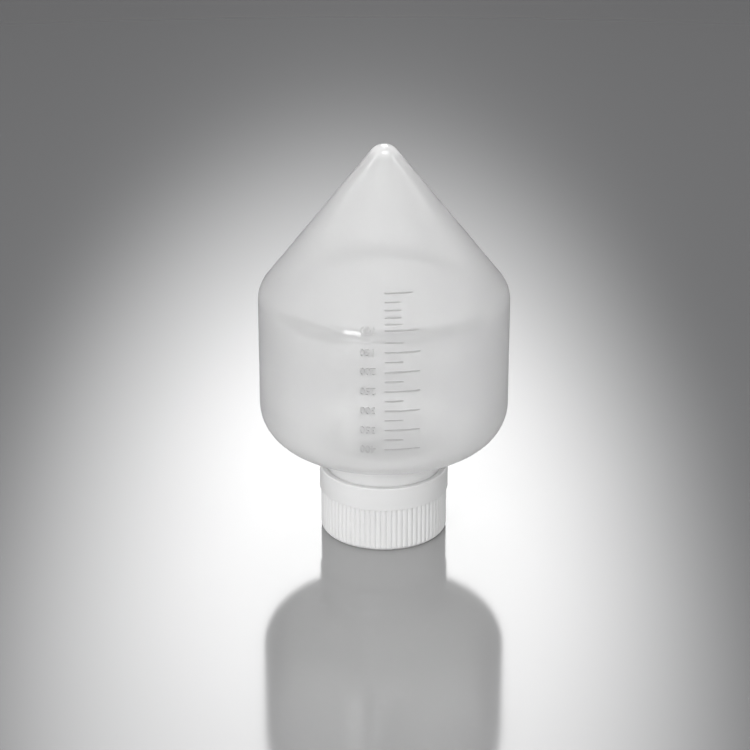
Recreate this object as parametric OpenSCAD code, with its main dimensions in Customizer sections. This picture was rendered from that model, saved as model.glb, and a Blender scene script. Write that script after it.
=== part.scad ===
// 500 mL centrifuge bottle with a conical bottom, stood upside down on its screw cap.
// The cap's flat face lies on z = 0, the axis is Z, and the tip of the cone points up.
// Heights below count up from the flat face, so the bottle's lip is its lowest edge.

/* [Body] */
// Outside diameter of the barrel
body_d = 95; // [80:1:110]
// Length of the barrel, from the corner of the shoulder to the corner of the cone
barrel_h = 57.6; // [40:0.2:80]
// Wall of the barrel and the shoulder
wall = 2; // [1.2:0.1:3]
// Fall of the shoulder towards the barrel, in degrees from level
shoulder_slope = 12.6; // [6:0.2:20]
// Outside radius where the shoulder turns into the barrel
shoulder_r = 15.6; // [8:0.2:18]

/* [Cone] */
// Angle between the side of the cone and its axis, in degrees
cone_angle = 37.9; // [30:0.1:45]
// Wall of the cone, thicker than the barrel because it takes the thrust in the rotor
cone_wall = 3.2; // [2:0.1:4]
// Outside radius where the barrel turns into the cone
cone_r = 10; // [6:0.5:14]
// Outside radius of the tip
tip_r = 6.1; // [5:0.1:9]
// Inside radius of the tip
tip_bore_r = 3.4; // [2:0.1:4]

/* [Neck] */
// Outside diameter of the neck, without its thread
neck_d = 42.4; // [36:0.2:44]
// Length of the neck, from the lip to the corner under the shoulder
neck_h = 32.7; // [28:0.1:40]
// Wall of the neck
neck_wall = 2.2; // [1.6:0.1:3]
// Step from the neck out to the collar that fills the cap's open end
collar_step = 0.9; // [0.5:0.1:1]
// Length of the collar, from its lower edge to the corner under the shoulder
collar_h = 12; // [9:0.5:13]
// Radius of the hollow corner between the collar and the shoulder
neck_fillet = 5; // [1:0.1:6]
// Rounding of the lip's outer edge
lip_round = 0.5; // [0.2:0.1:0.8]
// Chamfer of the lip's inner edge, which leads the plug in
lip_chamfer = 0.5; // [0.2:0.1:0.8]

/* [Graduation] */
// Volume at the first line, in mL
scale_from = 50; // [20:10:50]
// Volume at the last line, in mL
scale_to = 400; // [300:50:400]
// Length round the barrel of a 50 mL line, in degrees
major_sweep = 16; // [10:0.5:24]
// Length round the barrel of the shorter lines, in degrees
minor_sweep = 8.5; // [5:0.5:12]
// Width of a moulded line
line_w = 0.6; // [0.4:0.1:1]
// Height of a moulded line above the wall
line_raise = 0.18; // [0.1:0.02:0.2]

/* [Cap] */
// Outside height of the cap
cap_h = 26.6; // [24:0.2:30]
// Wall of the skirt between the cap's bore and the foot of the ribs
skirt_wall = 1.45; // [1.1:0.05:2.6]
// Height of the smooth band
band_h = 9.2; // [5:0.2:14]
// Step from the smooth band in to the crests of the ribs
band_step = 0.5; // [0.2:0.1:0.8]
// Number of grip ribs
ribs = 72; // [36:6:96]
// Height of a rib above the skirt
rib_raise = 0.5; // [0.3:0.1:0.7]
// Thickness of the cap's flat end
cap_top = 2.2; // [1.6:0.1:3]
// Rounding of the edge between the flat end and the skirt
cap_round = 1.2; // [0.6:0.1:1.6]
// Rounding of the open rim's outer edge
rim_round = 0.5; // [0.3:0.1:0.8]
// Chamfer inside the open rim, which leads the neck in
rim_lead = 0.4; // [0.3:0.1:1]
// Height of the thread's crest above the neck
thread_h = 0.9; // [0.5:0.1:1.2]
// Clearance between the thread's crest and the cap's bore
thread_gap = 0.25; // [0.1:0.05:0.5]
// Depth of the plug that seals inside the neck
plug_h = 4; // [2:0.2:6]
// Wall of the plug
plug_wall = 1.3; // [0.8:0.1:1.8]
// Clearance between the plug and the neck's bore
plug_gap = 0.08; // [0.05:0.01:0.2]

/* [Hidden] */
$fn = 120;

milky = [0.86, 0.87, 0.88, 0.75];
white = [0.95, 0.95, 0.95];
front = -90;            // direction of the graduation's edge, seen from above
past = 0.5;             // how far a cut runs past the face it opens
arc_slack = 0.001;      // how far an arc stands off its sides, so that it always crosses them

body_r = body_d / 2;
neck_r = neck_d / 2;
collar_r = neck_r + collar_step;
bore_r = neck_r - neck_wall;
lip_z = cap_top;        // the lip seats on the inside of the cap's flat end
root_z = lip_z + neck_h;
collar_z = root_z - collar_h;
corner_z = root_z + (body_r - neck_r) * tan(shoulder_slope);
cone_z = corner_z + barrel_h;
apex_z = cone_z + body_r / tan(cone_angle);

// The hollow's corners: each wall is its own distance inside the outer face
hollow_r = body_r - wall;
function hollow_shoulder_z(r) =
    root_z + (r - neck_r) * tan(shoulder_slope) + wall / cos(shoulder_slope);
hollow_apex_z = cone_z + (body_r - cone_wall / cos(cone_angle)) / tan(cone_angle);
hollow_cone_z = hollow_apex_z - hollow_r / tan(cone_angle);

// ---- outlines with true arcs at their corners ----

function unit(v) = v / norm(v);
function turn(a, p, b) = cross(p - a, b - p);

// What lies between a corner's arc and its two sides, a little past the sides. An outline loses it at
// a corner that points out, and gains it at a hollow corner.
module corner(a, p, b, r) {
    half = acos(unit(a - p) * unit(b - p)) / 2;
    to_centre = unit(unit(a - p) + unit(b - p)) * r / sin(half);
    reach = r / tan(half);
    translate(p + to_centre)
        difference() {
            scale(1 + past / r)
                polygon([[0, 0], unit(a - p) * reach - to_centre, -to_centre, unit(b - p) * reach - to_centre]);
            circle(r + arc_slack);
        }
}

// Half of a turned outline: its last point lies on the axis and is rounded against its own reflection
module half_outline(points, radii) {
    last = len(points) - 1;
    function after(i) = i == last ? [-points[i - 1].x, points[i - 1].y] : points[i + 1];
    difference() {
        polygon(points);
        for (i = [1:last])
            if (radii[i] > 0 && turn(points[i - 1], points[i], after(i)) > 0)
                corner(points[i - 1], points[i], after(i), radii[i]);
    }
    for (i = [1:last])
        if (radii[i] > 0 && turn(points[i - 1], points[i], after(i)) < 0)
            corner(points[i - 1], points[i], after(i), radii[i]);
}

// ---- bottle ----

module bottle_outline()
    half_outline(
        [[0, lip_z], [neck_r, lip_z], [neck_r, collar_z], [collar_r, collar_z + collar_step],
         [collar_r, root_z + collar_step * tan(shoulder_slope)],
         [body_r, corner_z], [body_r, cone_z], [0, apex_z]],
        [0, lip_round, 0, 0, neck_fillet, shoulder_r, cone_r, tip_r]);

module hollow_outline()
    half_outline(
        [[0, lip_z - past], [bore_r + lip_chamfer + past, lip_z - past], [bore_r, lip_z + lip_chamfer],
         [bore_r, hollow_shoulder_z(bore_r)], [hollow_r, hollow_shoulder_z(hollow_r)],
         [hollow_r, hollow_cone_z], [0, hollow_apex_z]],
        [0, 0, 0, neck_fillet + collar_r - bore_r, shoulder_r - wall, cone_r - wall, tip_bore_r]);

// Height at which the bottle, stood on its tip, holds a volume in mL
cone_ml = PI * pow(hollow_r, 2) * (hollow_apex_z - hollow_cone_z) / 3000;
function level_z(ml) =
    ml < cone_ml
        ? hollow_apex_z - (hollow_apex_z - hollow_cone_z) * pow(ml / cone_ml, 1 / 3)
        : hollow_cone_z - (ml - cone_ml) * 1000 / (PI * pow(hollow_r, 2));

// Outside radius of the barrel, of the arc above it and of the cone
barrel_low_z = corner_z + shoulder_r * tan(45 - shoulder_slope / 2);
arc_low_z = cone_z - cone_r * tan(cone_angle / 2);
arc_high_z = cone_z + cone_r * tan(cone_angle / 2) * cos(cone_angle);
function outer_r(z) =
    z < arc_low_z ? body_r
    : z < arc_high_z ? body_r - cone_r + sqrt(pow(cone_r, 2) - pow(z - arc_low_z, 2))
    : (apex_z - z) * tan(cone_angle);

// One moulded line: a round-backed ridge that lies on the wall
module graduation_line(ml, sweep) {
    bead_r = (pow(line_w / 2, 2) + pow(line_raise, 2)) / (2 * line_raise);
    rotate([0, 0, front])
        rotate_extrude(angle = sweep)
            translate([outer_r(level_z(ml)) + line_raise - bead_r, level_z(ml)])
                circle(bead_r, $fn = 32);
}

// Every 10 mL to 100 mL and then every 25 mL, as far as the plain wall of the barrel goes
module graduation() {
    for (ml = concat([for (low = [scale_from:10:100]) low], [for (high = [125:25:scale_to]) high]))
        if (level_z(ml) > barrel_low_z)
            graduation_line(ml, ml % 50 == 0 ? major_sweep : minor_sweep);
}

module bottle() {
    color(milky) {
        rotate_extrude()
            difference() {
                bottle_outline();
                hollow_outline();
            }
        graduation();
    }
}

// ---- cap ----

cap_bore_r = neck_r + thread_h + thread_gap;
skirt_r = cap_bore_r + skirt_wall;
grip_r = skirt_r + rib_raise;
band_r = grip_r + band_step;
plug_r = bore_r - plug_gap;

module cap_shell() {
    rotate_extrude()
        difference() {
            polygon([[0, 0], [skirt_r, 0], [skirt_r, cap_h - band_h], [band_r, cap_h - band_h],
                     [band_r, cap_h], [0, cap_h]]);
            corner([0, 0], [skirt_r, 0], [skirt_r, cap_h], cap_round);
            corner([band_r, 0], [band_r, cap_h], [0, cap_h], rim_round);
            polygon([[0, cap_top], [cap_bore_r, cap_top], [cap_bore_r, cap_h - rim_lead],
                     [cap_bore_r + rim_lead + past, cap_h + past], [0, cap_h + past]]);
        }
}

// The plug: a ring whose inner edge is chamfered to spring into the neck
module plug() {
    rotate_extrude()
        polygon([[plug_r - plug_wall, cap_top - past], [plug_r, cap_top - past],
                 [plug_r, cap_top + plug_h - plug_wall / 2], [plug_r - plug_wall / 2, cap_top + plug_h],
                 [plug_r - plug_wall, cap_top + plug_h]]);
}

// A rib is round-backed, starts clear of the rounded edge and runs out under the smooth band
module grip_ribs() {
    rib_r = PI * skirt_r / ribs / 2;
    for (i = [0:ribs - 1])
        rotate([0, 0, i * 360 / ribs])
            translate([grip_r - rib_r, 0, cap_round])
                cylinder(r = rib_r, h = cap_h - band_h - cap_round + past, $fn = 24);
}

module cap() {
    color(white) {
        cap_shell();
        plug();
        grip_ribs();
    }
}

bottle();
cap();
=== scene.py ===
import math

import bmesh
import bpy
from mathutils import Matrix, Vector


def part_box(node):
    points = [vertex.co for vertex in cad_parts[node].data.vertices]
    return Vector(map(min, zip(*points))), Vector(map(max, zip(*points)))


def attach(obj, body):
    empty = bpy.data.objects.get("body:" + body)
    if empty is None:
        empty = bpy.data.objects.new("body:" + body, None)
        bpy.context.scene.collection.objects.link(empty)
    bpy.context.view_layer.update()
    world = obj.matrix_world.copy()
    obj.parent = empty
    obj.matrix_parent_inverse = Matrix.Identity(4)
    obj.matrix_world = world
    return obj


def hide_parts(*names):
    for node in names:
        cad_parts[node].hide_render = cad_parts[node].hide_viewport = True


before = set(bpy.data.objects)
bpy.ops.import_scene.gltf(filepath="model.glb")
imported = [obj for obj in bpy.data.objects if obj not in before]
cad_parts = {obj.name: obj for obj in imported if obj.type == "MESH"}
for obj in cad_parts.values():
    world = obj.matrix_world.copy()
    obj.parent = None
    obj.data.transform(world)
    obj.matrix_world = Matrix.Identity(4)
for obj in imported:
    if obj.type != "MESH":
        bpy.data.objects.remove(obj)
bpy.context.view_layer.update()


# ---- Camera ----
# A long lens, set well back and above the bottle, looking down at it. It stands slightly to the left,
# so that the bottle is just right of the middle of the view.
mm = 0.001
CAMERA_BACK = 907 * mm
CAMERA_UP = 453 * mm
CAMERA_ASIDE = -3.4 * mm
CAMERA_DOWN = math.radians(23.26)
CAMERA_LENS = 124.1             # on a 36 mm sensor

camera_data = bpy.data.cameras.new("camera")
camera_data.lens = CAMERA_LENS
camera_data.sensor_width = 36
camera_data.clip_start = 0.01
camera_data.clip_end = 50
camera = bpy.data.objects.new("camera", camera_data)
camera.location = (CAMERA_ASIDE, -CAMERA_BACK, CAMERA_UP)
camera.rotation_euler = (math.pi / 2 - CAMERA_DOWN, 0, 0)
bpy.context.collection.objects.link(camera)
bpy.context.scene.camera = camera


# ---- Bottle ----
# One hollow moulding of milky polypropylene: lip, threaded neck, collar, sloping shoulder, barrel and
# conical bottom. It stands on its lip inside the cap, with the cone up. The cone's wall is thicker than
# the barrel's. The neck carries two turns of right-handed thread, and its collar fills the cap's end.
lip_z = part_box("bottle")[0].z
top_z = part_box("bottle")[1].z
BODY_R = 47.5 * mm
BARREL_H = 57.6 * mm
WALL = 2.0 * mm
SHOULDER_SLOPE = math.radians(12.6)
SHOULDER_R = 15.6 * mm
CONE_ANGLE = math.radians(37.9)
CONE_WALL = 3.2 * mm
CONE_R = 10 * mm
TIP_R = 6.1 * mm
TIP_BORE_R = 3.4 * mm
NECK_R = 21.2 * mm
NECK_H = 32.7 * mm
NECK_WALL = 2.2 * mm
COLLAR_STEP = 0.9 * mm
COLLAR_H = 12 * mm
NECK_FILLET = 5 * mm
LIP_ROUND = 0.5 * mm
LIP_CHAMFER = 0.5 * mm
BOTTLE_AROUND = 192             # corners round each ring of the bottle
LONGEST_STRETCH = 6 * mm        # between two rings of a straight wall

THREAD_PITCH = 4.0 * mm
THREAD_TURNS = 2.0
THREAD_FOOT = 1.7 * mm
THREAD_CREST = 0.7 * mm
THREAD_RAISE = 0.9 * mm
THREAD_RUN_OUT = 0.07           # share of a turn over which the thread rises from the wall
THREAD_STEP = 0.25 * mm         # between rings on a threaded wall
neck_thread_z = lip_z + 5.0 * mm

root_z = lip_z + NECK_H
collar_z = root_z - COLLAR_H
collar_r = NECK_R + COLLAR_STEP
corner_z = root_z + (BODY_R - NECK_R) * math.tan(SHOULDER_SLOPE)
cone_z = corner_z + BARREL_H
apex_z = cone_z + BODY_R / math.tan(CONE_ANGLE)
bore_r = NECK_R - NECK_WALL
hollow_r = BODY_R - WALL
hollow_apex_z = cone_z + (BODY_R - CONE_WALL / math.cos(CONE_ANGLE)) / math.tan(CONE_ANGLE)
hollow_cone_z = hollow_apex_z - hollow_r / math.tan(CONE_ANGLE)


def hollow_shoulder_z(r):
    return root_z + (r - NECK_R) * math.tan(SHOULDER_SLOPE) + WALL / math.cos(SHOULDER_SLOPE)


def rounded(corners, step=math.radians(5)):
    """The outline through (r, z, radius) corners as (r, z) points, each corner rounded to its radius.
    A corner on the axis is rounded against its own reflection."""
    points = []
    for i, (r, z, radius) in enumerate(corners):
        here = Vector((r, z))
        if not radius:
            points.append(here)
            continue
        before = Vector(corners[i - 1][:2]) if i else Vector((-corners[1][0], corners[1][1]))
        is_last = i == len(corners) - 1
        after = Vector((-before.x, before.y)) if is_last else Vector(corners[i + 1][:2])
        to_before, to_after = (before - here).normalized(), (after - here).normalized()
        half = to_before.angle(to_after) / 2
        to_centre = (to_before + to_after).normalized() * radius / math.sin(half)
        start = to_before * radius / math.tan(half) - to_centre
        end = to_after * radius / math.tan(half) - to_centre
        swing = math.atan2(start.cross(end), start.dot(end))
        count = 2 * math.ceil(abs(swing) / step / 2)
        for k in range(count + 1):
            a = swing * k / count
            on_arc = Vector((start.x * math.cos(a) - start.y * math.sin(a),
                             start.x * math.sin(a) + start.y * math.cos(a)))
            point = here + to_centre + on_arc
            if point.x > -1e-9:
                points.append(Vector((max(0, point.x), point.y)))
    return points


def filled_in(points, longest):
    """The same outline with more points, so that no stretch is longer than longest."""
    out = [points[0]]
    for a, b in zip(points, points[1:]):
        count = max(1, math.ceil((b - a).length / longest - 1e-6))
        out += [a.lerp(b, i / count) for i in range(1, count + 1)]
    return out


def eased(x):
    x = min(1, max(0, x))
    return x * x * (3 - 2 * x)


def thread_height(angle, z, start_z):
    """How far a thread that starts at start_z has risen at an angle and a height, from 0 to 1."""
    height = 0
    for turn in range(math.ceil(THREAD_TURNS) + 1):
        along = angle / math.tau + turn
        off = abs(z - start_z - along * THREAD_PITCH)
        flank = (THREAD_FOOT / 2 - off) / (THREAD_FOOT / 2 - THREAD_CREST / 2)
        ends = min(along, THREAD_TURNS - along) / THREAD_RUN_OUT
        height = max(height, eased(flank) * eased(ends))
    return height


def turned(name, rings):
    """A closed mesh of revolution from (corners, radius, z) rings. The first and the last ring are one
    point on the axis. A radius may be a function of the angle, and where the number of corners
    changes, each side of the coarser ring meets several of the finer one."""
    verts, faces, starts = [], [], []
    for corners, radius, z in rings:
        starts.append(len(verts))
        for i in range(corners):
            a = math.tau * i / corners
            r = radius(a) if callable(radius) else radius
            verts.append((r * math.cos(a), r * math.sin(a), z))
    for i in range(len(rings) - 1):
        (na, nb), (a, b) = (rings[i][0], rings[i + 1][0]), starts[i:i + 2]
        sides = max(na, nb) if 1 in (na, nb) else min(na, nb)
        for k in range(sides):
            side_a = [a + (k * na // sides + j) % na for j in range(na // sides + 1)]
            side_b = [b + (k * nb // sides + j) % nb for j in range(nb // sides + 1)]
            faces.append(side_a[:na] + side_b[:nb][::-1])
    mesh = bpy.data.meshes.new(name)
    mesh.from_pydata(verts, [], faces)
    return finished(name, mesh)


def finished(name, mesh, crease=32):
    """The mesh as a piece of the model, with its faces turned outward and its creases kept sharp."""
    shape = bmesh.new()
    shape.from_mesh(mesh)
    bmesh.ops.recalc_face_normals(shape, faces=shape.faces)
    shape.to_mesh(mesh)
    shape.free()
    mesh.polygons.foreach_set("use_smooth", [True] * len(mesh.polygons))
    mesh.set_sharp_from_angle(angle=math.radians(crease))
    piece = bpy.data.objects.new(name, mesh)
    bpy.context.collection.objects.link(piece)
    return piece


def threaded_rings(corners, r, raise_by, low, high, start_z):
    """Rings of a threaded wall from low to high, or from high to low if low is the greater."""
    count = math.ceil(abs(high - low) / THREAD_STEP)
    heights = [low + (high - low) * i / count for i in range(count + 1)]
    return [(corners, lambda a, z=z: r + raise_by * thread_height(a, z, start_z), z) for z in heights]


inside = filled_in(rounded([
    (0, hollow_apex_z, TIP_BORE_R), (hollow_r, hollow_cone_z, CONE_R - WALL),
    (hollow_r, hollow_shoulder_z(hollow_r), SHOULDER_R - WALL),
    (bore_r, hollow_shoulder_z(bore_r), NECK_FILLET + collar_r - bore_r),
    (bore_r, lip_z + LIP_CHAMFER, 0), (bore_r + LIP_CHAMFER, lip_z, 0)]), LONGEST_STRETCH)
lip = rounded([(bore_r + LIP_CHAMFER, lip_z, 0), (NECK_R, lip_z, LIP_ROUND), (NECK_R, root_z, 0)],
              step=math.radians(15))[1:-1]
thread_low = neck_thread_z - THREAD_FOOT
thread_high = neck_thread_z + THREAD_TURNS * THREAD_PITCH + THREAD_FOOT
outside = filled_in(rounded([
    (NECK_R, thread_high, 0), (NECK_R, collar_z, 0), (collar_r, collar_z + COLLAR_STEP, 0),
    (collar_r, root_z + COLLAR_STEP * math.tan(SHOULDER_SLOPE), NECK_FILLET),
    (BODY_R, corner_z, SHOULDER_R), (BODY_R, cone_z, CONE_R), (0, apex_z, TIP_R)]), LONGEST_STRETCH)[1:]


def plain_rings(points, corners):
    return [(1 if p.x < 1e-6 else corners, p.x, p.y) for p in points]


bottle = turned("bottle_wall",
                plain_rings(inside + lip, BOTTLE_AROUND)
                + threaded_rings(BOTTLE_AROUND, NECK_R, THREAD_RAISE, thread_low, thread_high, neck_thread_z)
                + plain_rings(outside, BOTTLE_AROUND))
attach(bottle, "bottle")
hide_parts("bottle")


# How clear the plastic is, as heights with the share of the light that passes through blurred. The neck
# is the whitest, the barrel is the clearest, the cone's wall is thicker, and the tip is solid.
CLEAR_AT = [(28 * mm, 0.42), (38 * mm, 0.68), (58 * mm, 0.80), (90 * mm, 0.87), (104 * mm, 0.85),
            (151 * mm, 0.82), (155 * mm, 0.62)]


def milky_polypropylene():
    """Milky plastic. Part of the light passes through blurred, part is scattered forward inside the
    wall, and the rest comes back, most of it where the plastic is thick."""
    material = bpy.data.materials.new("milky_polypropylene")
    material.use_nodes = True
    nodes, links = material.node_tree.nodes, material.node_tree.links
    shader = nodes["Principled BSDF"]
    shader.inputs["IOR"].default_value = 1.49
    place = nodes.new("ShaderNodeTexCoord")
    clouds = nodes.new("ShaderNodeTexNoise")
    clouds.inputs["Scale"].default_value = 35
    clouds.inputs["Detail"].default_value = 3
    tint = nodes.new("ShaderNodeMix")
    tint.data_type = "RGBA"
    tint.inputs["A"].default_value = (0.985, 0.985, 0.985, 1)
    tint.inputs["B"].default_value = (0.995, 0.995, 0.995, 1)
    rough = nodes.new("ShaderNodeMapRange")
    rough.inputs["To Min"].default_value = 0.05
    rough.inputs["To Max"].default_value = 0.10
    ripple = nodes.new("ShaderNodeTexNoise")
    ripple.inputs["Scale"].default_value = 260
    bump = nodes.new("ShaderNodeBump")
    bump.inputs["Strength"].default_value = 0.05
    bump.inputs["Distance"].default_value = 0.2 * mm
    links.new(place.outputs["Object"], clouds.inputs["Vector"])
    links.new(place.outputs["Object"], ripple.inputs["Vector"])
    links.new(clouds.outputs["Fac"], tint.inputs["Factor"])
    links.new(clouds.outputs["Fac"], rough.inputs["Value"])
    links.new(ripple.outputs["Fac"], bump.inputs["Height"])
    links.new(tint.outputs["Result"], shader.inputs["Base Color"])
    links.new(rough.outputs["Result"], shader.inputs["Roughness"])
    links.new(bump.outputs["Normal"], shader.inputs["Normal"])

    height = nodes.new("ShaderNodeSeparateXYZ")
    share = nodes.new("ShaderNodeMapRange")
    share.inputs["From Max"].default_value = top_z
    clear = nodes.new("ShaderNodeValToRGB")
    clear.color_ramp.interpolation = "EASE"
    while len(clear.color_ramp.elements) < len(CLEAR_AT):
        clear.color_ramp.elements.new(0.5)
    for stop, (z, value) in zip(clear.color_ramp.elements, CLEAR_AT):
        stop.position = z / top_z
    for stop, (z, value) in zip(clear.color_ramp.elements, CLEAR_AT):
        stop.color = (value, value, value, 1)
    links.new(place.outputs["Object"], height.inputs["Vector"])
    links.new(height.outputs["Z"], share.inputs["Value"])
    links.new(share.outputs["Result"], clear.inputs["Fac"])
    links.new(clear.outputs["Color"], shader.inputs["Transmission Weight"])

    scatter = nodes.new("ShaderNodeBsdfTranslucent")
    wall = nodes.new("ShaderNodeMixShader")
    wall.inputs["Fac"].default_value = 0.24
    links.new(tint.outputs["Result"], scatter.inputs["Color"])
    links.new(shader.outputs["BSDF"], wall.inputs[1])
    links.new(scatter.outputs["BSDF"], wall.inputs[2])
    links.new(wall.outputs["Shader"], nodes["Material Output"].inputs["Surface"])
    return material


bottle.data.materials.append(milky_polypropylene())


# ---- Graduation ----
# Raised lines and numbers, moulded with the bottle: a line every 10 mL up to 100 mL, then every 25 mL
# to 400 mL, and a number at every 50 mL from 100. They read upright when the cap is uppermost.
SCALE_ML = [*range(50, 100, 10), *range(100, 401, 25)]
LONG_ML = 50                    # every line at a multiple of this is a long one
NUMBER_ML = range(100, 401, 50)
FRONT = -math.pi / 2            # direction of the foot of the lines, seen from above
MAJOR_SWEEP = math.radians(16)
MINOR_SWEEP = math.radians(8.5)
LINE_W = 0.6 * mm
LINE_RAISE = 0.18 * mm
LINE_ENDS = 0.25                # height of a line's very ends, as the start of an eased rise
ENDS_W = 0.6                    # least width of a line at its ends, as a share of LINE_W
SUNK = 0.1 * mm                 # how deep the marks' own underside lies in the wall
NUMBER_SIZE = 4.0 * mm
NUMBER_BOLD = 0.06 * mm         # added all round the strokes of a number
NUMBER_AT = math.radians(-7.4)  # middle of a number, from the foot of the lines

arc_low_z = cone_z - CONE_R * math.tan(CONE_ANGLE / 2)
arc_high_z = arc_low_z + CONE_R * math.sin(CONE_ANGLE)
cone_volume = math.pi * hollow_r ** 2 * (hollow_apex_z - hollow_cone_z) / 3


def level_z(ml):
    """Height of the liquid's surface in the bottle, stood on its tip, at a volume in mL."""
    volume = ml * 1e-6
    if volume < cone_volume:
        return hollow_apex_z - (hollow_apex_z - hollow_cone_z) * (volume / cone_volume) ** (1 / 3)
    return hollow_cone_z - (volume - cone_volume) / (math.pi * hollow_r ** 2)


def on_wall(z, along=0, out=0):
    """Radius and height of a point on the outer wall at z, moved along the wall's slope and out of it."""
    lean = math.asin(min(math.sin(CONE_ANGLE), max(0, z - arc_low_z) / CONE_R))
    if z < arc_high_z:
        r = BODY_R - CONE_R + CONE_R * math.cos(lean)
    else:
        r = (apex_z - z) * math.tan(CONE_ANGLE)
    return (r - along * math.sin(lean) + out * math.cos(lean),
            z + along * math.cos(lean) + out * math.sin(lean))


def turned_to(angle, r, z):
    return (r * math.cos(angle), r * math.sin(angle), z)


def graduation_lines():
    """Round-backed ridges that follow the wall, tapered at both ends."""
    shape = bmesh.new()
    across = [-0.5, -0.3, 0, 0.3, 0.5]
    for ml in SCALE_ML:
        sweep = MINOR_SWEEP if ml % LONG_ML else MAJOR_SWEEP
        steps = math.ceil(sweep / math.radians(1))
        stations = []
        for i in range(steps + 1):
            ends = eased(min(i, steps - i) + LINE_ENDS)
            wide = LINE_W * (ENDS_W + (1 - ENDS_W) * ends)
            section = [(wide * s, LINE_RAISE * (1 - 4 * s * s) * ends) for s in across]
            section += [(section[-1][0], -SUNK), (section[0][0], -SUNK)]
            stations.append([
                shape.verts.new(turned_to(FRONT + sweep * i / steps, *on_wall(level_z(ml), along, out)))
                for along, out in section])
        for one, next_one in zip(stations, stations[1:]):
            for j in range(len(one)):
                k = (j + 1) % len(one)
                shape.faces.new([one[j], one[k], next_one[k], next_one[j]])
        shape.faces.new(stations[0])
        shape.faces.new(stations[-1][::-1])
    mesh = bpy.data.meshes.new("graduation_lines")
    shape.to_mesh(mesh)
    shape.free()
    return finished("graduation_lines", mesh, crease=60)


def graduation_numbers():
    """Raised figures bent round the wall, one number beside each longer line."""
    shape = bmesh.new()
    for ml in NUMBER_ML:
        words = bpy.data.curves.new("number", "FONT")
        words.body = str(ml)
        words.size = NUMBER_SIZE
        words.align_x = "CENTER"
        words.align_y = "CENTER"
        words.extrude = (LINE_RAISE + SUNK) / 2
        words.offset = NUMBER_BOLD
        words.resolution_u = 4
        flat = bpy.data.objects.new("number", words)
        bpy.context.collection.objects.link(flat)
        bpy.context.view_layer.update()
        figures = bpy.data.meshes.new_from_object(flat.evaluated_get(bpy.context.evaluated_depsgraph_get()))
        z, r = level_z(ml), on_wall(level_z(ml))[0]
        middle = sum((v.co.y for v in figures.vertices)) / len(figures.vertices)
        for v in figures.vertices:
            out = v.co.z + (LINE_RAISE - SUNK) / 2
            v.co = turned_to(FRONT + NUMBER_AT - v.co.x / r, *on_wall(z, middle - v.co.y, out))
        shape.from_mesh(figures)
        bpy.data.objects.remove(flat)
        bpy.data.curves.remove(words)
        bpy.data.meshes.remove(figures)
    bmesh.ops.remove_doubles(shape, verts=shape.verts, dist=0.001 * mm)
    mesh = bpy.data.meshes.new("graduation_numbers")
    shape.to_mesh(mesh)
    shape.free()
    return finished("graduation_numbers", mesh, crease=60)


def raised_mark_plastic():
    """The bottle's own plastic on the raised marks, with painted shade: a grey base colour stands in for the
    shade on the moulded relief, and its tone varies at random.
    """
    material = bpy.data.materials.new("raised_mark_plastic")
    material.use_nodes = True
    nodes, links = material.node_tree.nodes, material.node_tree.links
    shader = nodes["Principled BSDF"]
    shader.inputs["Roughness"].default_value = 0.4
    shader.inputs["IOR"].default_value = 1.49
    place = nodes.new("ShaderNodeTexCoord")
    clouds = nodes.new("ShaderNodeTexNoise")
    clouds.inputs["Scale"].default_value = 300
    tint = nodes.new("ShaderNodeMix")
    tint.data_type = "RGBA"
    # painted shade: this grey stands in for the shade on the raised relief, which is the bottle's own pale
    # plastic
    tint.inputs["A"].default_value = (0.30, 0.30, 0.30, 1)
    tint.inputs["B"].default_value = (0.38, 0.38, 0.38, 1)
    links.new(place.outputs["Object"], clouds.inputs["Vector"])
    links.new(clouds.outputs["Fac"], tint.inputs["Factor"])
    links.new(tint.outputs["Result"], shader.inputs["Base Color"])
    return material


mark_plastic = raised_mark_plastic()
for marks in (graduation_lines(), graduation_numbers()):
    marks.data.materials.append(mark_plastic)
    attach(marks, "bottle")


# ---- Cap ----
# One moulding of white plastic: a flat end, a skirt with fine grip ribs, a smooth band at the open rim,
# an inside thread that meshes with the neck's, and the plug ring that seals inside the lip.
cap_low, cap_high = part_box("cap")
CAP_TOP = 2.2 * mm
CAP_BORE_R = 22.35 * mm
SKIRT_R = 23.8 * mm
SKIRT_LEVELS = (1.5 * mm, 1.9 * mm, 6 * mm, 12 * mm)    # rings between the edge and the band
RIBS = 72
RIB_RAISE = 0.5 * mm
RIB_HALF = 1 / 2.1              # half a rib's width, as a share of the space from rib to rib
RIB_HOLLOW = 1.3                # above 1, the flanks are hollow at the foot
RIB_FROM = 0.3 * mm             # height at which the ribs start to rise out of the rounded edge
RIB_FULL = 1.7 * mm             # and at which they are full
BAND_H = 9.2 * mm
BAND_STEP = 0.5 * mm
BAND_UNDER = 0.4 * mm           # flat underside of the band, outside the ribs
BAND_ROUND = 0.15 * mm
CAP_ROUND = 1.2 * mm
FOOT_RINGS = (9 * mm, 17 * mm)  # radii on the flat end
RIM_ROUND = 0.5 * mm
RIM_FLAT = 0.3 * mm
RIM_LEAD = 0.4 * mm
PLUG_R = bore_r - 0.08 * mm
PLUG_H = 4 * mm
PLUG_WALL = 1.3 * mm
CAP_THREAD_DEPTH = 0.95 * mm
RIB_CORNERS = 8                 # corners of the outline for each rib
CAP_OUTER = RIBS * RIB_CORNERS
CAP_INNER = CAP_OUTER // 4

cap_h = cap_high.z - cap_low.z
band_r = SKIRT_R + RIB_RAISE + BAND_STEP
band_z = cap_h - BAND_H
cap_thread_z = neck_thread_z + THREAD_PITCH / 2


def rib_height(angle):
    """Round-backed ribs with narrow valleys between them, from 0 to 1."""
    across = (angle * RIBS / math.tau + 0.5) % 1 - 0.5
    return math.sqrt(max(0, 1 - (across / RIB_HALF) ** 2)) ** RIB_HOLLOW


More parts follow.
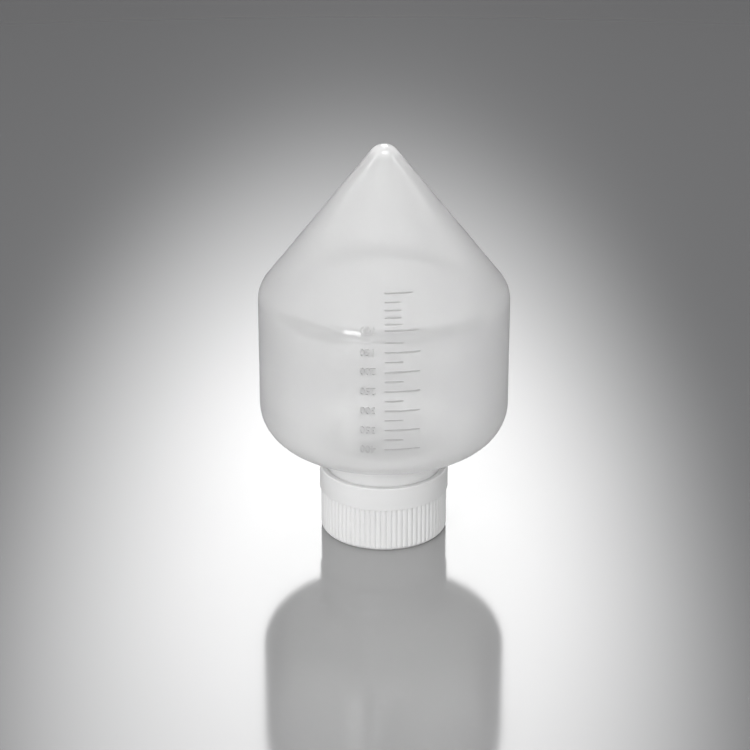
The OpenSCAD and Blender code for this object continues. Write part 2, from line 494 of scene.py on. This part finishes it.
def skirt_rings():
    """The rounded edge and the ribbed skirt. The ribs rise out of the edge and run under the band."""
    edge = [(SKIRT_R - CAP_ROUND * (1 - math.sin(a)), CAP_ROUND * (1 - math.cos(a)))
            for a in [math.pi / 2 * i / 6 for i in range(7)]]
    wall = [(SKIRT_R, z) for z in (*SKIRT_LEVELS, band_z)]
    rings = []
    for r, z in edge + wall:
        rise = RIB_RAISE * eased((z - RIB_FROM) / (RIB_FULL - RIB_FROM))
        rings.append((CAP_OUTER, lambda a, r=r, rise=rise: r + rise * rib_height(a), z))
    return rings


foot = [(CAP_INNER, r, 0) for r in FOOT_RINGS]
band = plain_rings(rounded([
    (band_r - BAND_UNDER, band_z, 0), (band_r, band_z, BAND_ROUND), (band_r, cap_h, RIM_ROUND),
    (CAP_BORE_R + RIM_LEAD + RIM_FLAT, cap_h, 0)], step=math.radians(15)), CAP_OUTER)
thread_top = cap_thread_z + THREAD_TURNS * THREAD_PITCH + THREAD_FOOT
bore = [(CAP_INNER, CAP_BORE_R + RIM_LEAD, cap_h), (CAP_INNER, CAP_BORE_R, cap_h - RIM_LEAD)]
bore += threaded_rings(CAP_INNER, CAP_BORE_R, -CAP_THREAD_DEPTH, thread_top, cap_thread_z - THREAD_FOOT,
                       cap_thread_z)
well = plain_rings([Vector(p) for p in (
    (CAP_BORE_R, CAP_TOP), (PLUG_R, CAP_TOP), (PLUG_R, CAP_TOP + PLUG_H - PLUG_WALL / 2),
    (PLUG_R - PLUG_WALL / 2, CAP_TOP + PLUG_H), (PLUG_R - PLUG_WALL, CAP_TOP + PLUG_H),
    (PLUG_R - PLUG_WALL, CAP_TOP), (0, CAP_TOP))], CAP_INNER)
cap = turned("screw_cap", [(1, 0, 0), *foot, *skirt_rings(), *band, *bore, *well])
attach(cap, "cap")
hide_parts("cap")


def white_cap_plastic():
    """Bright white plastic with a satin gloss and the faintest unevenness of a moulded surface."""
    material = bpy.data.materials.new("white_cap_plastic")
    material.use_nodes = True
    nodes, links = material.node_tree.nodes, material.node_tree.links
    shader = nodes["Principled BSDF"]
    shader.inputs["IOR"].default_value = 1.49
    shader.inputs["Subsurface Weight"].default_value = 0.35
    shader.inputs["Subsurface Radius"].default_value = (1.0, 1.0, 0.95)
    shader.inputs["Subsurface Scale"].default_value = 1.5 * mm
    place = nodes.new("ShaderNodeTexCoord")
    clouds = nodes.new("ShaderNodeTexNoise")
    clouds.inputs["Scale"].default_value = 60
    tint = nodes.new("ShaderNodeMix")
    tint.data_type = "RGBA"
    tint.inputs["A"].default_value = (0.63, 0.63, 0.63, 1)
    tint.inputs["B"].default_value = (0.66, 0.66, 0.66, 1)
    rough = nodes.new("ShaderNodeMapRange")
    rough.inputs["To Min"].default_value = 0.30
    rough.inputs["To Max"].default_value = 0.42
    grain = nodes.new("ShaderNodeTexNoise")
    grain.inputs["Scale"].default_value = 900
    bump = nodes.new("ShaderNodeBump")
    bump.inputs["Strength"].default_value = 0.08
    bump.inputs["Distance"].default_value = 0.05 * mm
    links.new(place.outputs["Object"], clouds.inputs["Vector"])
    links.new(place.outputs["Object"], grain.inputs["Vector"])
    links.new(clouds.outputs["Fac"], tint.inputs["Factor"])
    links.new(clouds.outputs["Fac"], rough.inputs["Value"])
    links.new(grain.outputs["Fac"], bump.inputs["Height"])
    links.new(tint.outputs["Result"], shader.inputs["Base Color"])
    links.new(rough.outputs["Result"], shader.inputs["Roughness"])
    links.new(bump.outputs["Normal"], shader.inputs["Normal"])
    return material


cap.data.materials.append(white_cap_plastic())


# ---- Floor and light ----
# A glossy table with a painted pool of light: its colour is paler round the bottle than further out. A large
# low softbox stands in front and one at each side, a small one high in front picks out the bends, and one
# high behind shines through the wall. The sky is dim at the horizon and brighter overhead, and a tall glow
# in it stands behind the bottle.
FLOOR_REACH = 12.0
# PALE and DARK paint a pool of light on the table: paler round the bottle, darker further out
PALE = (0.32, 0.32, 0.32, 1)
DARK = (0.10, 0.10, 0.103, 1)
FADE_TO = 0.13                  # distance out at which the table is as dark as DARK
FADE_DEEP = 0.35                # share of that distance which counts in depth

floor_mesh = bpy.data.meshes.new("floor")
floor_mesh.from_pydata([(-FLOOR_REACH, -FLOOR_REACH, 0), (FLOOR_REACH, -FLOOR_REACH, 0),
                        (FLOOR_REACH, FLOOR_REACH, 0), (-FLOOR_REACH, FLOOR_REACH, 0)], [], [(0, 1, 2, 3)])
floor = bpy.data.objects.new("floor", floor_mesh)
bpy.context.collection.objects.link(floor)


def glossy_table():
    """Smooth grey laminate with a painted pool of light: its colour is palest in the middle and falls off
    outward, slower to the front and back.
    """
    material = bpy.data.materials.new("glossy_table")
    material.use_nodes = True
    nodes, links = material.node_tree.nodes, material.node_tree.links
    shader = nodes["Principled BSDF"]
    shader.inputs["Roughness"].default_value = 0.10
    shader.inputs["IOR"].default_value = 1.45
    place = nodes.new("ShaderNodeTexCoord")
    stretch = nodes.new("ShaderNodeVectorMath")
    stretch.operation = "MULTIPLY"
    stretch.inputs[1].default_value = (1, FADE_DEEP, 0)
    distance = nodes.new("ShaderNodeVectorMath")
    distance.operation = "LENGTH"
    painted_light_falloff = nodes.new("ShaderNodeMapRange")
    painted_light_falloff.interpolation_type = "SMOOTHERSTEP"
    painted_light_falloff.inputs["From Max"].default_value = FADE_TO
    tone = nodes.new("ShaderNodeMix")
    tone.data_type = "RGBA"
    tone.inputs["A"].default_value = PALE
    tone.inputs["B"].default_value = DARK
    links.new(place.outputs["Object"], stretch.inputs[0])
    links.new(stretch.outputs["Vector"], distance.inputs[0])
    links.new(distance.outputs["Value"], painted_light_falloff.inputs["Value"])
    links.new(painted_light_falloff.outputs["Result"], tone.inputs["Factor"])
    links.new(tone.outputs["Result"], shader.inputs["Base Color"])
    return material


floor_mesh.materials.append(glossy_table())


def soft_lamp(name, place, size, power, mirrored=True):
    """A square softbox that faces the bottle. One that is not mirrored lights the bottle and the table
    without showing up in their gloss."""
    data = bpy.data.lights.new(name, "AREA")
    data.size = size
    data.energy = power
    lamp = bpy.data.objects.new(name, data)
    lamp.location = place
    lamp.rotation_euler = (Vector((0, 0, 0.08)) - Vector(place)).to_track_quat("-Z", "Y").to_euler()
    lamp.visible_glossy = mirrored
    bpy.context.collection.objects.link(lamp)


# The three large ones stand partly below the edge of the table, so that only their upper parts shine.
soft_lamp("lamp_back", (0.05, 0.75, 0.95), 0.45, 4.5)
soft_lamp("lamp_front", (-0.1, -1.0, 0.0), 0.9, 14.5, mirrored=False)
soft_lamp("lamp_right", (0.9, 0.1, 0.1), 1.2, 5.8, mirrored=False)
soft_lamp("lamp_left", (-0.9, 0.1, 0.1), 1.2, 5.5, mirrored=False)
soft_lamp("lamp_key", (-0.54, -1.0, 0.62), 0.36, 5)

SKY_LOW = 0.16                  # brightness of the sky near the horizon
SKY_HIGH = 0.8                  # and overhead
LOW_TO = 0.15                   # sine of the height up to which the sky is as dark as SKY_LOW
HIGH_FROM = 0.75                # and of the height from which it is as bright as SKY_HIGH
GLOW = 7.0                      # what the middle of the glow adds
GLOW_ASIDE = math.radians(-0.5)
GLOW_UP = math.radians(31.5)
GLOW_TO = math.radians(15.4)    # the glow is gone this far above and below its middle
GLOW_NARROW = 1.52              # how many times nearer its sides are


def glowing_sky():
    """White all over, with a strength that grows with height and in the glow."""
    sky = bpy.data.worlds.new("sky")
    sky.use_nodes = True
    nodes, links = sky.node_tree.nodes, sky.node_tree.links
    place = nodes.new("ShaderNodeTexCoord")
    height = nodes.new("ShaderNodeSeparateXYZ")
    base = nodes.new("ShaderNodeMapRange")
    base.interpolation_type = "SMOOTHERSTEP"
    base.inputs["From Min"].default_value = LOW_TO
    base.inputs["From Max"].default_value = HIGH_FROM
    base.inputs["To Min"].default_value = SKY_LOW
    base.inputs["To Max"].default_value = SKY_HIGH
    off_middle = nodes.new("ShaderNodeVectorMath")
    off_middle.operation = "SUBTRACT"
    off_middle.inputs[1].default_value = (math.sin(GLOW_ASIDE) * math.cos(GLOW_UP),
                                          math.cos(GLOW_ASIDE) * math.cos(GLOW_UP), math.sin(GLOW_UP))
    narrowed = nodes.new("ShaderNodeVectorMath")
    narrowed.operation = "MULTIPLY"
    narrowed.inputs[1].default_value = (GLOW_NARROW, 1, 1)
    squared = nodes.new("ShaderNodeVectorMath")
    squared.operation = "DOT_PRODUCT"
    glow = nodes.new("ShaderNodeMapRange")
    glow.interpolation_type = "SMOOTHERSTEP"
    glow.inputs["From Min"].default_value = GLOW_TO ** 2
    glow.inputs["From Max"].default_value = 0
    glow.inputs["To Max"].default_value = GLOW
    total = nodes.new("ShaderNodeMath")
    links.new(place.outputs["Generated"], height.inputs["Vector"])
    links.new(height.outputs["Z"], base.inputs["Value"])
    links.new(place.outputs["Generated"], off_middle.inputs[0])
    links.new(off_middle.outputs["Vector"], narrowed.inputs[0])
    links.new(narrowed.outputs["Vector"], squared.inputs[0])
    links.new(narrowed.outputs["Vector"], squared.inputs[1])
    links.new(squared.outputs["Value"], glow.inputs["Value"])
    links.new(base.outputs["Result"], total.inputs[0])
    links.new(glow.outputs["Result"], total.inputs[1])
    links.new(total.outputs["Value"], nodes["Background"].inputs["Strength"])
    nodes["Background"].inputs["Color"].default_value = (1, 1, 1, 1)
    return sky


bpy.context.scene.world = glowing_sky()
bpy.context.scene.view_settings.view_transform = "Standard"
